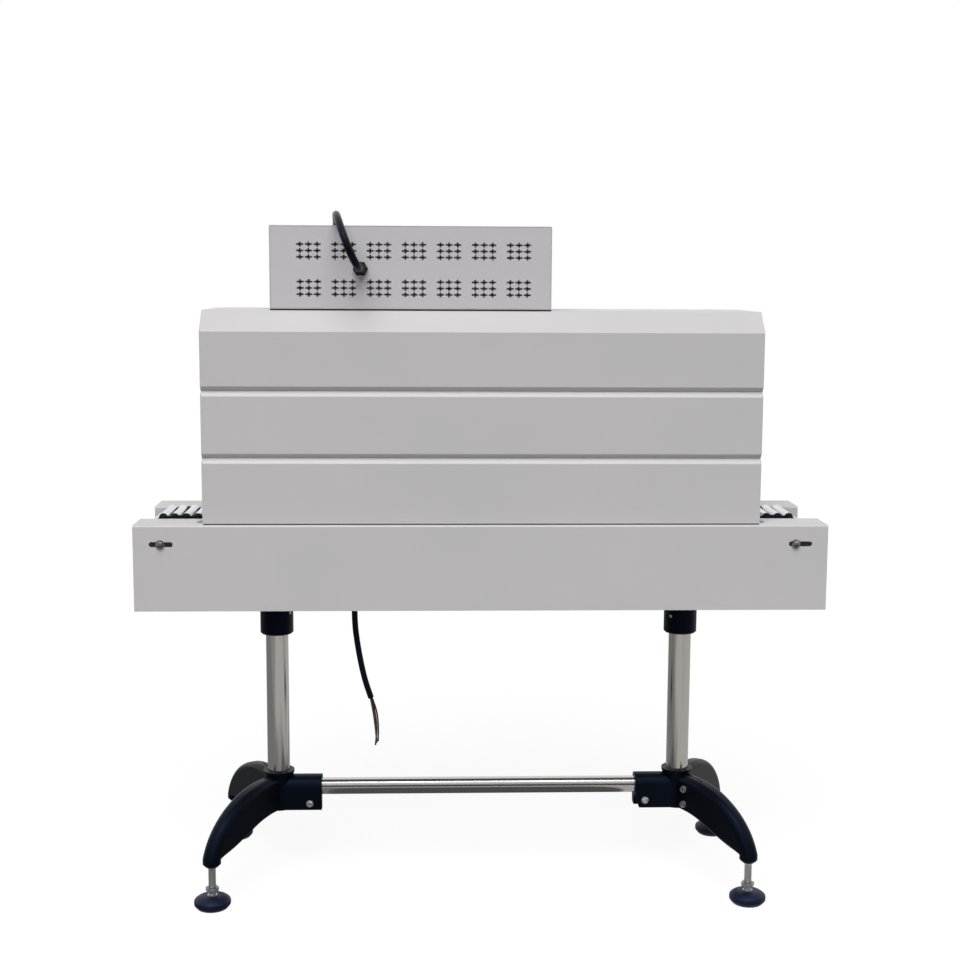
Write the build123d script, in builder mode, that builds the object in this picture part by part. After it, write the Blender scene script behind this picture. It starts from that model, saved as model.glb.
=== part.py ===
"""Shrink tunnel for sleeve labels, on its own roller-chain conveyor and two pedestal posts.

Millimetres. The origin is on the floor under the middle of the conveyor, +X runs along the
conveyor, +Z is up, and -Y is the service side that carries the vents and the cables.
"""

import os
from math import atan2, cos, degrees, hypot, pi, radians, sin, tan

from build123d import *

# Overall
rail_top = 842.0
conveyor_length = 1500.0
sheet = 2.0
fit = 0.3

# Side rails
rail_height = 187.0
rail_width = 100.0
belt_gap = 175.0
rail_bend = 4.0
rail_lip = 18.0

# Chain, rollers and shafts
chain_pitch = 25.4
sprocket_teeth = 10
shaft_shift = -6.0
roller_radius = 10.0
roller_length = 124.0
roller_proud = 8.0
chain_height = 12.0
chain_waist = 8.0
chain_inner_thickness = 3.0
chain_outer_thickness = 2.0
sprocket_hub_radius = 18.0
sprocket_hub_length = 8.0
tooth_gap_radius = 5.2
shaft_radius = 10.0
slot_length = 51.0
slot_height = 11.0
slot_inset = 60.0
bolt_radius = 5.0
bolt_head_flats = 19.0
bolt_head_height = 7.0
washer_radius = 13.0
washer_thickness = 2.0
guide_thickness = 8.0
guide_flange = 14.0
guide_end_gap = 10.0

# Belly pan
pan_lift = 8.0
pan_thickness = 3.0
pan_side = 34.0
pan_end_inset = 30.0

# Hood
hood_length = 1204.0
hood_inset = 11.0
hood_side_height = 414.0
hood_chamfer = 44.0
lower_groove = 144.0
upper_groove = 288.0
groove_depth = 9.5
groove_upper_flank = 9.0
groove_lower_flank = 11.5
panel_flange = 14.0
tunnel_width = 190.0
tunnel_height = 330.0
liner_foot = 15.0
hold_down_width = 24.0
hold_down_leg = 16.0

# Control box
box_length = 603.0
box_centre = -155.0
box_height = 176.5
box_depth = 225.0
box_overhang = 1.5
box_spacer = 3.0
box_spacer_radius = 12.0
box_spacer_inset_x = 60.0
box_spacer_inset_y = 45.0
box_corner = 3.0
vent_columns = 7
vent_rows = 2
vent_group_pitch = 74.8
vent_row_pitch = 79.0
vent_shift = 6.5
vent_lift = -4.6
crosses_per_side = 3
cross_pitch_x = 18.4
cross_pitch_z = 13.4
cross_width = 15.0
cross_height = 12.0
cross_stroke = 3.8

# Operator's controls on the far side of the box
meter_width = 96.0
meter_height = 48.0
meter_depth = 8.0
meter_pitch = 130.0
meter_height_offset = 25.0
knob_radius = 17.0
knob_height = 18.0
knob_taper = 6.0
switch_width = 30.0
switch_height = 22.0
switch_depth = 5.0
control_row_drop = -42.0
control_pitch = 90.0

# Pedestals
post_inset = 287.0
post_radius = 25.4
post_wall = 2.0
post_foot = 163.0
top_socket_radius = 37.5
top_socket_bottom = 564.0
top_socket_chamfer = 3.0
socket_flange = 110.0
socket_flange_thickness = 7.0
tube_radius = 19.0
tube_wall = 2.0
tube_height = 200.0
tube_seat = 45.0

# Bipod mouldings
foot_spread = 127.0
foot_y = 215.0
hub_radius = 31.0
hub_collar_radius = 36.0
hub_bottom = 151.0
hub_top = 241.0
hub_collar_height = 5.0
hub_flare = 14.0
arm_socket_radius = 28.5
arm_socket_reach = 100.0
arm_socket_bottom = 150.0
arm_corner = 6.0
jaw_slant = 10.0
jaw_slant_height = 30.0
clamp_slit = 3.0
leg_slit_reach = 92.0
leg_width = 40.0
leg_top_round = 15.0
leg_bottom_round = 4.0
boss_bottom = 93.0
boss_top = 109.0
boss_chamfer = 6.0
spindle_hole_depth = 34.0

# Levelling feet
spindle_radius = 8.0
nut_flats = 25.0
nut_height = 8.0
nut_bottom = 38.0
pad_radius = 40.0
pad_sole_radius = 33.0
pad_height = 28.0
pad_widest = 8.0
pad_rim = 17.0
pad_edge_round = 6.0
pad_crown_radius = 15.0
pad_seat = 12.0

# Glands and cables
lead_radius = 7.5
box_gland_x = -262.6
box_gland_lift = 85.3
gland_flats = 28.0
gland_hex_length = 10.0
gland_nose_length = 16.0
gland_shoulder = 1.0
gland_taper = 14.0
roof_gland_x = -331.0
roof_gland_inset = 20.0
mains_radius = 6.3
mains_x = -283.0
mains_y = -60.0
core_radius = 1.7

# Worked out from the sizes above
half_length = conveyor_length / 2
half_gap = belt_gap / 2
rail_outer = half_gap + rail_width
rail_bottom = rail_top - rail_height
face = rail_outer - hood_inset
hood_top = rail_top + hood_side_height + hood_chamfer
roof_half = face - hood_chamfer
box_bottom = hood_top + box_spacer
box_near = -(roof_half + box_overhang)
box_far = box_near + box_depth
box_middle_z = box_bottom + box_height / 2
pan_bottom = rail_bottom + pan_lift
pitch_radius = chain_pitch / (2 * sin(pi / sprocket_teeth))
run_drop = pitch_radius * cos(pi / sprocket_teeth)
upper_run = rail_top + roller_proud - roller_radius
straight_pitches = int((conveyor_length - 2 * slot_inset) // chain_pitch)
shaft_z = upper_run - run_drop
half_span = straight_pitches * chain_pitch / 2
shaft_places = {"idler_shaft": shaft_shift - half_span, "drive_shaft": shaft_shift + half_span}
post_x = half_length - post_inset
foot_x = post_x + foot_spread
leg_angle = degrees(atan2(foot_y, foot_spread))
leg_reach = hypot(foot_y, foot_spread)
chain_inner_face = roller_length / 2 + fit

os.makedirs("parts", exist_ok=True)


def save(part, name):
    """Label a finished piece and write it to its own file."""
    part.label = name
    export_step(part, f"parts/{name}.step")


def moved_copies(part, places):
    """The same solid set down at each of the places, as one group."""
    return Compound([part.moved(place) for place in places])


# Side rails: folded sheet, closed at the ends, open below between two lips


def side_rail(side):
    web_centre = side * (half_gap + rail_width / 2)
    middle_z = rail_top - rail_height / 2
    with BuildPart() as rail:
        with BuildSketch(Plane.YZ.offset(-half_length)) as outline:
            with Locations((web_centre, middle_z)):
                Rectangle(rail_width, rail_height)
            fillet(outline.vertices().group_by(Axis.Y)[-1], rail_bend)
        extrude(amount=conveyor_length)
        with BuildSketch(Plane.YZ.offset(-half_length + sheet)) as hollow:
            with Locations((web_centre, middle_z)):
                Rectangle(rail_width - 2 * sheet, rail_height - 2 * sheet)
            fillet(hollow.vertices().group_by(Axis.Y)[-1], rail_bend - sheet)
        extrude(amount=conveyor_length - 2 * sheet, mode=Mode.SUBTRACT)
        with BuildSketch(Plane.XY.offset(rail_bottom)):
            with Locations((0, web_centre)):
                Rectangle(conveyor_length - 2 * rail_lip, rail_width - 2 * rail_lip)
        extrude(amount=sheet, mode=Mode.SUBTRACT)
        # take-up slots through the outer web, and their clearance through the inner web
        slot_plane = Plane.XZ.offset(-side * rail_outer)
        with BuildSketch(slot_plane):
            with Locations((-half_length + slot_inset, shaft_z), (half_length - slot_inset, shaft_z)):
                SlotOverall(slot_length, slot_height)
        extrude(amount=2 * sheet, both=True, mode=Mode.SUBTRACT)
        with BuildSketch(Plane.XZ.offset(-side * half_gap)):
            with Locations((-half_length + slot_inset, shaft_z), (half_length - slot_inset, shaft_z)):
                SlotOverall(slot_length + 2 * shaft_radius, 2 * (shaft_radius + 1))
        extrude(amount=2 * sheet, both=True, mode=Mode.SUBTRACT)
    return rail.part


save(side_rail(-1), "near_side_rail")
save(side_rail(1), "far_side_rail")

# Belly pan: a channel between the rails that ties them and carries the post sockets

with BuildPart() as belly_pan:
    with BuildSketch(Plane.YZ.offset(-half_length + pan_end_inset)):
        with Locations((0, pan_bottom)):
            Rectangle(belt_gap, pan_side, align=(Align.CENTER, Align.MIN))
        with Locations((0, pan_bottom + pan_thickness)):
            Rectangle(
                belt_gap - 2 * pan_thickness,
                pan_side,
                align=(Align.CENTER, Align.MIN),
                mode=Mode.SUBTRACT,
            )
    extrude(amount=conveyor_length - 2 * pan_end_inset)
save(belly_pan.part, "belly_pan")


# Chain: the pins stand half a pitch either side of each shaft's top, so the two straight
# runs are level and each end is wrapped by half the sprocket's teeth


def pin_places():
    """Every pin of the loop in order, as (x, z), starting at the left of the upper run."""
    places = []
    for i in range(straight_pitches):
        places.append((shaft_shift - half_span + (i + 0.5) * chain_pitch, upper_run))
    places += wrap(shaft_shift + half_span, 1)
    for i in range(straight_pitches):
        places.append((shaft_shift + half_span - (i + 0.5) * chain_pitch, upper_run - 2 * run_drop))
    places += wrap(shaft_shift - half_span, -1)
    return places


def wrap(centre_x, side):
    """The pins on one sprocket, from the run that arrives to the run that leaves."""
    step = 2 * pi / sprocket_teeth
    turned = [(i + 0.5) * step for i in range(sprocket_teeth // 2)]
    return [
        (centre_x + side * pitch_radius * sin(a), shaft_z + side * pitch_radius * cos(a)) for a in turned
    ]


pins = pin_places()
half_height = chain_height / 2
half_waist = chain_waist / 2


def outer_link(start, end):
    """An outer plate round two pins: a bar with rounded ends, in the plane of the strand."""
    x0, z0 = start
    x1, z1 = end
    with Locations(Location(((x0 + x1) / 2, (z0 + z1) / 2, 0), (0, 0, degrees(atan2(z1 - z0, x1 - x0))))):
        SlotCenterToCenter(hypot(x1 - x0, z1 - z0), chain_height)


# One strand: the inner plates as one waisted band round both sprockets, with a lobe at every
# pin, and the outer plates on every other link
with BuildPart() as near_chain:
    with BuildSketch(Plane.XZ.offset(chain_inner_face)):
        with BuildLine():
            Polyline(*pins, close=True)
        make_face()
        offset(amount=half_waist, kind=Kind.INTERSECTION)
        with BuildSketch(mode=Mode.PRIVATE) as inside:
            with BuildLine():
                Polyline(*pins, close=True)
            make_face()
            offset(amount=-half_waist, kind=Kind.INTERSECTION)
        add(inside.sketch, mode=Mode.SUBTRACT)
        with Locations(*pins):
            Circle(half_height)
    extrude(amount=chain_inner_thickness)
    with BuildSketch(Plane.XZ.offset(chain_inner_face + chain_inner_thickness)):
        for i in range(0, len(pins), 2):
            outer_link(pins[i], pins[(i + 1) % len(pins)])
    extrude(amount=chain_outer_thickness)
save(near_chain.part, "near_chain")
save(near_chain.part.mirror(Plane.XZ), "far_chain")

# Rollers: one plain barrel on every pin of the loop

with BuildPart() as roller:
    with BuildSketch(Plane.XZ.offset(-roller_length / 2)):
        Circle(roller_radius)
    extrude(amount=roller_length)
save(moved_copies(roller.part, [Location((x, 0, z)) for x, z in pins]), "conveyor_rollers")


# Shafts reach from web to web and are clamped through the slots by a bolt at each end

for name, x in shaft_places.items():
    with BuildPart() as shaft:
        with BuildSketch(Plane.XZ.offset(-(rail_outer - sheet))):
            with Locations((x, shaft_z)):
                Circle(shaft_radius)
        extrude(amount=2 * (rail_outer - sheet))
    save(shaft.part, name)

# Sprockets: toothed discs inside the strands, seated on the shafts

root_radius = run_drop - half_height - fit
sprocket_thickness = chain_inner_thickness + chain_outer_thickness
with BuildPart() as sprocket:
    with BuildSketch(Plane.XZ):
        Circle(root_radius)
        with PolarLocations(root_radius, sprocket_teeth, start_angle=180 / sprocket_teeth):
            Circle(tooth_gap_radius, mode=Mode.SUBTRACT)
        Circle(shaft_radius + fit / 3, mode=Mode.SUBTRACT)
    extrude(amount=sprocket_thickness)
    with BuildSketch(Plane.XZ.offset(sprocket_thickness)):
        Circle(sprocket_hub_radius)
        Circle(shaft_radius + fit / 3, mode=Mode.SUBTRACT)
    extrude(amount=sprocket_hub_length)
sprocket_places = []
for x in shaft_places.values():
    sprocket_places.append(Location((x, -chain_inner_face, shaft_z)))
    sprocket_places.append(Location((x, chain_inner_face, shaft_z), (0, 0, 180)))
save(moved_copies(sprocket.part, sprocket_places), "sprockets")

# Take-up bolts: a washer outside the web, a hexagon head and a shank that meets the shaft

with BuildPart() as take_up_bolt:
    with BuildSketch(Plane.XZ):
        Circle(washer_radius)
    extrude(amount=washer_thickness)
    with BuildSketch(Plane.XZ.offset(washer_thickness)):
        RegularPolygon(bolt_head_flats / 2, 6, major_radius=False)
    extrude(amount=bolt_head_height)
    with BuildSketch(Plane.XZ):
        Circle(bolt_radius)
    extrude(amount=-sheet)
bolt_places = []
for x in shaft_places.values():
    bolt_places.append(Location((x, -rail_outer, shaft_z)))
    bolt_places.append(Location((x, rail_outer, shaft_z), (0, 0, 180)))
save(moved_copies(take_up_bolt.part, bolt_places), "take_up_bolts")


# Chain guides: angle strips bolted to the inner webs, under each straight run

guide_length = 2 * (half_span - pitch_radius - guide_end_gap)
with BuildPart() as chain_guides:
    with BuildSketch(Plane.YZ.offset(shaft_shift - guide_length / 2)) as guide_section:
        for run in (upper_run, upper_run - 2 * run_drop):
            top = run - half_height - fit
            for side in (-1, 1):
                with Locations((side * (chain_inner_face + half_gap) / 2, top - guide_thickness / 2)):
                    Rectangle(half_gap - chain_inner_face, guide_thickness)
                with Locations((side * (half_gap - sheet / 2), top - guide_flange / 2 - guide_thickness / 2)):
                    Rectangle(sheet, guide_flange + guide_thickness)
    extrude(amount=guide_length)
save(chain_guides.part, "chain_guides")


# Hood: folded panels whose edges turn in along two grooves on each side


def groove(height):
    """The outer line of one groove, from its lower lip to its upper lip, as (inset, height)."""
    return [(0, height - groove_lower_flank), (groove_depth, height), (0, height + groove_upper_flank)]


def near_line(points):
    """Points given as (inset from the hood's face, height above the rails) on the near side."""
    return [(-face + inset, rail_top + height) for inset, height in points]


def folded(points, length):
    """A sheet folded along the points, with its thickness on the right of the way they run."""
    with BuildPart() as panel:
        with BuildSketch(Plane.YZ.offset(-length / 2)):
            with BuildLine() as fold:
                Polyline(*points)
                offset(amount=sheet, side=Side.RIGHT, kind=Kind.INTERSECTION)
            make_face()
        extrude(amount=length)
    return panel.part


turned_in = groove_depth + panel_flange
skin_length = hood_length - 2 * sheet
lower_line = [(turned_in, 0), (0, 0), *groove(lower_groove)[:2], (turned_in, lower_groove)]
middle_line = [(turned_in, lower_groove), *groove(lower_groove)[1:]]
middle_line += [*groove(upper_groove)[:2], (turned_in, upper_groove)]
cover_line = near_line(
    [
        (turned_in, upper_groove),
        *groove(upper_groove)[1:],
        (0, hood_side_height),
        (hood_chamfer, hood_side_height + hood_chamfer),
    ]
)
cover_line += [(-y, z) for y, z in reversed(cover_line)]

lower_panel = folded(near_line(lower_line), skin_length)
middle_panel = folded(near_line(middle_line), skin_length)
save(lower_panel, "near_lower_panel")
save(middle_panel, "near_middle_panel")
save(lower_panel.mirror(Plane.XZ), "far_lower_panel")
save(middle_panel.mirror(Plane.XZ), "far_middle_panel")
save(folded(cover_line, skin_length), "hood_top_cover")

# Hood end plates: the outer outline, with the tunnel's mouth cut up from the rails

end_line = near_line([(0, 0), *groove(lower_groove), *groove(upper_groove), (0, hood_side_height)])
end_line += near_line([(hood_chamfer, hood_side_height + hood_chamfer)])
end_line += [(-y, z) for y, z in reversed(end_line)]


def end_plate(start):
    with BuildPart() as plate:
        with BuildSketch(Plane.YZ.offset(start)):
            with BuildLine():
                Polyline(*end_line, close=True)
            make_face()
            with Locations((0, rail_top)):
                Rectangle(
                    tunnel_width,
                    tunnel_height,
                    align=(Align.CENTER, Align.MIN),
                    mode=Mode.SUBTRACT,
                )
        extrude(amount=sheet)
    return plate.part


save(end_plate(-hood_length / 2), "left_end_plate")
save(end_plate(hood_length / 2 - sheet), "right_end_plate")

# Tunnel liner: one folded sheet that lines the passage and stands on the rails

half_tunnel = tunnel_width / 2
liner_line = [
    (half_tunnel + sheet + liner_foot, rail_top),
    (half_tunnel, rail_top),
    (half_tunnel, rail_top + tunnel_height),
]
liner_line += [(-y, z) for y, z in reversed(liner_line)]
save(folded(liner_line, skin_length), "tunnel_liner")

# Hold-down angles at the foot of each end plate, two at each end

with BuildPart() as hold_down:
    with BuildSketch(Plane.XZ):
        Rectangle(hold_down_leg, hold_down_leg, align=(Align.MIN, Align.MIN))
        with Locations((sheet, sheet)):
            Rectangle(
                hold_down_leg,
                hold_down_leg,
                align=(Align.MIN, Align.MIN),
                mode=Mode.SUBTRACT,
            )
    extrude(amount=hold_down_width / 2, both=True)
hold_down_y = (half_tunnel + face) / 2
hold_down_places = []
for side in (-1, 1):
    hold_down_places.append(Location((hood_length / 2, side * hold_down_y, rail_top)))
    hold_down_places.append(Location((-hood_length / 2, side * hold_down_y, rail_top), (0, 0, 180)))
save(moved_copies(hold_down.part, hold_down_places), "hood_hold_downs")

# Control box: a wrap of sheet on four spacers, closed by a vented panel and an operator's panel

with BuildPart() as control_box_body:
    with BuildSketch(Plane.XZ.offset(-box_near)) as wrap_outline:
        with Locations((box_centre, box_middle_z)):
            Rectangle(box_length, box_height)
        fillet(wrap_outline.vertices(), box_corner)
    extrude(amount=-box_depth)
    with BuildSketch(Plane.XZ.offset(-box_near)) as wrap_hollow:
        with Locations((box_centre, box_middle_z)):
            Rectangle(box_length - 2 * sheet, box_height - 2 * sheet)
        fillet(wrap_hollow.vertices(), box_corner - sheet)
    extrude(amount=-box_depth, mode=Mode.SUBTRACT)
save(control_box_body.part, "control_box_body")

panel_length = box_length - 2 * sheet - 2 * fit
panel_height = box_height - 2 * sheet - 2 * fit
with BuildPart() as vent_panel:
    with BuildSketch(Plane.XZ.offset(-box_near)) as vent_sketch:
        with Locations((box_centre, box_middle_z)):
            Rectangle(panel_length, panel_height)
        fillet(vent_sketch.vertices(), box_corner - sheet)
        with BuildSketch(mode=Mode.PRIVATE) as cross:
            Rectangle(cross_width, cross_stroke)
            Rectangle(cross_stroke, cross_height)
        with Locations((box_centre + vent_shift, box_middle_z + vent_lift)):
            with GridLocations(vent_group_pitch, vent_row_pitch, vent_columns, vent_rows):
                with GridLocations(cross_pitch_x, cross_pitch_z, crosses_per_side, crosses_per_side):
                    add(cross.sketch, mode=Mode.SUBTRACT)
    extrude(amount=-sheet)
save(vent_panel.part, "vent_panel")

with BuildPart() as control_panel:
    with BuildSketch(Plane.XZ.offset(-box_far + sheet)) as panel_sketch:
        with Locations((box_centre, box_middle_z)):
            Rectangle(panel_length, panel_height)
        fillet(panel_sketch.vertices(), box_corner - sheet)
    extrude(amount=-sheet)
save(control_panel.part, "control_panel")

# Operator's controls: two meters over a row of two knobs and two rocker switches

with BuildPart() as control_meters:
    with BuildSketch(Plane.XZ.offset(-box_far)):
        with Locations((box_centre, box_middle_z + meter_height_offset)):
            with GridLocations(meter_pitch, 1, 2, 1):
                RectangleRounded(meter_width, meter_height, box_corner)
    extrude(amount=-meter_depth)
save(control_meters.part, "control_meters")

with BuildPart() as control_knobs:
    with BuildSketch(Plane.XZ.offset(-box_far)):
        with Locations((box_centre - control_pitch, box_middle_z + control_row_drop)):
            with GridLocations(control_pitch, 1, 2, 1):
                Circle(knob_radius)
    extrude(amount=-knob_height, taper=knob_taper)
save(control_knobs.part, "control_knobs")

with BuildPart() as control_switches:
    with BuildSketch(Plane.XZ.offset(-box_far)):
        with Locations((box_centre + control_pitch, box_middle_z + control_row_drop)):
            with GridLocations(control_pitch, 1, 2, 1):
                RectangleRounded(switch_width, switch_height, box_corner)
    extrude(amount=-switch_depth)
save(control_switches.part, "control_switches")

with BuildPart() as box_spacers:
    with BuildSketch(Plane.XY.offset(hood_top)):
        with Locations((box_centre, (box_near + box_far) / 2)):
            with GridLocations(box_length - 2 * box_spacer_inset_x, box_depth - 2 * box_spacer_inset_y, 2, 2):
                Circle(box_spacer_radius)
    extrude(amount=box_spacer)
save(box_spacers.part, "box_spacers")

# Cable glands: a hexagon on the sheet and a tapering nose round the cable


def gland(plane):
    with BuildPart() as body:
        with BuildSketch(plane):
            RegularPolygon(gland_flats / 2, 6, major_radius=False)
        extrude(amount=gland_hex_length)
        with BuildSketch(plane.offset(gland_hex_length)):
            Circle(gland_flats / 2 - gland_shoulder)
        extrude(amount=gland_nose_length, taper=gland_taper)
    return body.part


box_gland_z = box_bottom + box_gland_lift
roof_gland_y = box_far + roof_gland_inset
gland_length = gland_hex_length + gland_nose_length
box_gland_plane = Plane(
    origin=(box_gland_x, box_near, box_gland_z), x_dir=(1, 0, 0), z_dir=(0, -1, 0)
)
roof_gland_plane = Plane.XY.offset(hood_top).shift_origin((roof_gland_x, roof_gland_y, hood_top))
mains_gland_plane = Plane(
    origin=(mains_x, mains_y, pan_bottom), x_dir=(1, 0, 0), z_dir=(0, 0, -1)
)
save(gland(box_gland_plane), "box_gland")
save(gland(roof_gland_plane), "roof_gland")
save(gland(mains_gland_plane), "mains_gland")

# Cables: straight runs joined by arcs as large as the runs allow


def corner_radii(points):
    """The largest arc at each corner that leaves a tenth of the shorter run straight."""
    radii = []
    for before, corner, after in zip(points, points[1:], points[2:]):
        into = Vector(*corner) - Vector(*before)
        out = Vector(*after) - Vector(*corner)
        half_turn = radians(into.get_angle(out)) / 2
        radii.append(0.45 * min(into.length, out.length) / tan(half_turn))
    return radii


def cable(points, radius, name):
    radii = corner_radii(points)
    with BuildPart() as tube:
        with BuildLine() as route:
            FilletPolyline(*points, radius=radii)
        start = Vector(*points[0])
        with BuildSketch(Plane(origin=start, z_dir=Vector(*points[1]) - start)):
            Circle(radius)
        sweep(transition=Transition.ROUND)
    length = sum(edge.length for edge in route.edges())
    share = tube.part.volume / (pi * radius**2 * length)
    print(f"{name}: length {length:.1f}, radii {[round(r) for r in radii]}, volume ratio {share:.4f}")
    return tube.part


lead_route = [
    (box_gland_x, box_near - gland_length, box_gland_z),
    (box_gland_x, -193, box_gland_z),
    (-266, -221, 1400),
    (-275, -234, 1430),
    (-288, -221, 1467),
    (-306, -173, 1503),
    (-314, -119, 1512),
    (-319, -63, 1502),
    (-323, -10, 1490),
    (-326, 42, 1495),
    (-329, 92, 1511),
    (-331, 134, 1501),
    (-332, 156, 1465),
    (-332, 150, 1423),
    (-331, 125, 1388),
    (roof_gland_x, roof_gland_y, 1355),
    (roof_gland_x, roof_gland_y, hood_top + gland_length),
]
save(cable(lead_route, lead_radius, "box_lead"), "box_lead")

mains_route = [
    (mains_x, mains_y, pan_bottom - gland_length),
    (mains_x, mains_y, 600),
    (-277, -60, 551),
    (-268, -60, 500),
    (-258, -60, 458),
    (-247, -60, 427),
]
save(cable(mains_route, mains_radius, "mains_cable"), "mains_cable")

core_routes = [
    [(-246.7, -57.9, 426.9), (-238.4, -57, 401), (-230.6, -56, 373), (-227, -55, 344), (-229.5, -54, 316)],
    [(-248.5, -61.1, 426.3), (-241, -61.8, 402), (-234.5, -62.5, 375), (-232.6, -63.2, 348), (-235, -64, 321)],
    [(-244.9, -61.1, 427.6), (-234, -62, 402.5), (-224.5, -63, 376), (-223, -63.5, 349), (-225.5, -64, 326)],
]
save(Compound([cable(route, core_radius, "mains_core") for route in core_routes]), "mains_cores")

# Pedestal sockets: black collars bolted under the belly pan


def top_socket(x):
    with BuildPart() as socket:
        with BuildSketch(Plane.XY.offset(top_socket_bottom)):
            with Locations((x, 0)):
                Circle(top_socket_radius)
        extrude(amount=pan_bottom - socket_flange_thickness - top_socket_bottom)
        chamfer(socket.edges().group_by(Axis.Z)[0], top_socket_chamfer)
        with BuildSketch(Plane.XY.offset(pan_bottom)):
            with Locations((x, 0)):
                RectangleRounded(socket_flange, socket_flange, box_corner)
        extrude(amount=-socket_flange_thickness)
        with BuildSketch(Plane.XY.offset(top_socket_bottom)):
            with Locations((x, 0)):
                Circle(post_radius + fit)
        extrude(amount=pan_bottom - socket_flange_thickness - top_socket_bottom, mode=Mode.SUBTRACT)
    return socket.part


def post(x):
    with BuildPart() as tube:
        with BuildSketch(Plane.XY.offset(post_foot)):
            with Locations((x, 0)):
                Circle(post_radius)
                Circle(post_radius - post_wall, mode=Mode.SUBTRACT)
        extrude(amount=pan_bottom - socket_flange_thickness - post_foot)
    return tube.part


for side_name, side in (("left", -1), ("right", 1)):
    save(top_socket(side * post_x), f"{side_name}_top_socket")
    save(post(side * post_x), f"{side_name}_post")

tube_reach = post_x - arm_socket_reach + tube_seat
with BuildPart() as cross_tube:
    with BuildSketch(Plane.YZ.offset(-tube_reach)):
        with Locations((0, tube_height)):
            Circle(tube_radius)
            Circle(tube_radius - tube_wall, mode=Mode.SUBTRACT)
    extrude(amount=2 * tube_reach)
save(cross_tube.part, "cross_tube")

# Bipods: a moulded hub with a socket for the cross tube, and two swept legs

leg_plane = Plane(
    origin=(post_x, 0, 0),
    x_dir=(cos(radians(leg_angle)), sin(radians(leg_angle)), 0),
    z_dir=(sin(radians(leg_angle)), -cos(radians(leg_angle)), 0),
)
boss_radius = leg_width / 2
# the leg's crown and underside, as (distance from the post, height), section by section
leg_crown = [(0, 231), (70, 232), (140, 221), (198, 195), (240, 160), (leg_reach + boss_radius, boss_top)]
leg_underside = [(0, 152), (58, 152), (112, 142), (160, 126), (202, 113), (leg_reach - boss_radius, boss_top)]


def section_plane(crown, underside):
    """The plane of a leg section, midway between its two points, with its Y towards the crown."""
    top = leg_plane.from_local_coords(Vector(*crown, 0))
    foot = leg_plane.from_local_coords(Vector(*underside, 0))
    upwards = (top - foot).normalized()
    return Plane(origin=(top + foot) / 2, x_dir=leg_plane.z_dir, z_dir=leg_plane.z_dir.cross(upwards))


round_end = boss_radius - fit
with BuildPart() as leg:
    for i, (crown, underside) in enumerate(zip(leg_crown, leg_underside)):
        blend = (i / (len(leg_crown) - 1)) ** 3
        with BuildSketch(section_plane(crown, underside)) as section:
            Rectangle(leg_width, hypot(crown[0] - underside[0], crown[1] - underside[1]))
            fillet(
                section.vertices().group_by(Axis.Y)[-1],
                leg_top_round + (round_end - leg_top_round) * blend,
            )
            fillet(
                section.vertices().group_by(Axis.Y)[0],
                leg_bottom_round + (round_end - leg_bottom_round) * blend,
            )
    loft()
    with BuildSketch(Plane.XY.offset(boss_top)):
        with Locations((foot_x, foot_y)):
            Circle(boss_radius)
    extrude(amount=boss_bottom - boss_top)
    chamfer(leg.edges().group_by(Axis.Z)[0], boss_chamfer)

with BuildPart() as bipod:
    # hub with a flared collar round the post
    with BuildSketch(Plane.XZ):
        with BuildLine():
            Polyline(
                (post_x, hub_bottom),
                (post_x + hub_radius, hub_bottom),
                (post_x + hub_radius, hub_top - hub_collar_height - hub_flare),
                (post_x + hub_collar_radius, hub_top - hub_collar_height),
                (post_x + hub_collar_radius, hub_top),
                (post_x, hub_top),
                close=True,
            )
        make_face()
    revolve(axis=Axis((post_x, 0, 0), (0, 0, 1)), revolution_arc=360)
    # arched socket for the cross tube, whose lower half is its clamp
    with BuildSketch(Plane.YZ.offset(post_x - arm_socket_reach)) as arch:
        with Locations((0, arm_socket_bottom)):
            Rectangle(
                2 * arm_socket_radius,
                tube_height - arm_socket_bottom,
                align=(Align.CENTER, Align.MIN),
            )
        fillet(arch.vertices().group_by(Axis.Y)[0], arm_corner)
        with Locations((0, tube_height)):
            Circle(arm_socket_radius)
    extrude(amount=arm_socket_reach)
    # the near jaw of the clamp ends in a slant
    with BuildSketch(Plane.XZ):
        with BuildLine():
            Polyline(
                (post_x - arm_socket_reach, arm_socket_bottom),
                (post_x - arm_socket_reach + jaw_slant, arm_socket_bottom),
                (post_x - arm_socket_reach, arm_socket_bottom + jaw_slant_height),
                close=True,
            )
        make_face()
    extrude(amount=arm_socket_radius, mode=Mode.SUBTRACT)
    add(leg.part)
    add(leg.part.mirror(Plane.XZ))
    # bores for the post and the cross tube, the slits of both clamps and the spindle holes
    with BuildSketch(Plane.XY.offset(post_foot)):
        with Locations((post_x, 0)):
            Circle(post_radius + fit)
    extrude(amount=hub_top - post_foot, mode=Mode.SUBTRACT)
    with BuildSketch(Plane.YZ.offset(post_x - arm_socket_reach)):
        with Locations((0, tube_height)):
            Circle(tube_radius + fit)
        with Locations((0, arm_socket_bottom)):
            Rectangle(clamp_slit, tube_height - arm_socket_bottom, align=(Align.CENTER, Align.MIN))
    extrude(amount=tube_seat, mode=Mode.SUBTRACT)
    with BuildSketch(Plane.XY.offset(post_foot)):
        with Locations(Location((post_x, 0, 0), (0, 0, -leg_angle))):
            Rectangle(leg_slit_reach, clamp_slit, align=(Align.MIN, Align.CENTER))
    extrude(amount=hub_top - post_foot, mode=Mode.SUBTRACT)
    with BuildSketch(Plane.XY.offset(boss_bottom)):
        with Locations((foot_x, foot_y), (foot_x, -foot_y)):
            Circle(spindle_radius + fit)
    extrude(amount=spindle_hole_depth, mode=Mode.SUBTRACT)
save(bipod.part, "right_bipod")
save(bipod.part.rotate(Axis.Z, 180), "left_bipod")

# Levelling feet: a threaded spindle with its nut, and a domed pad

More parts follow.
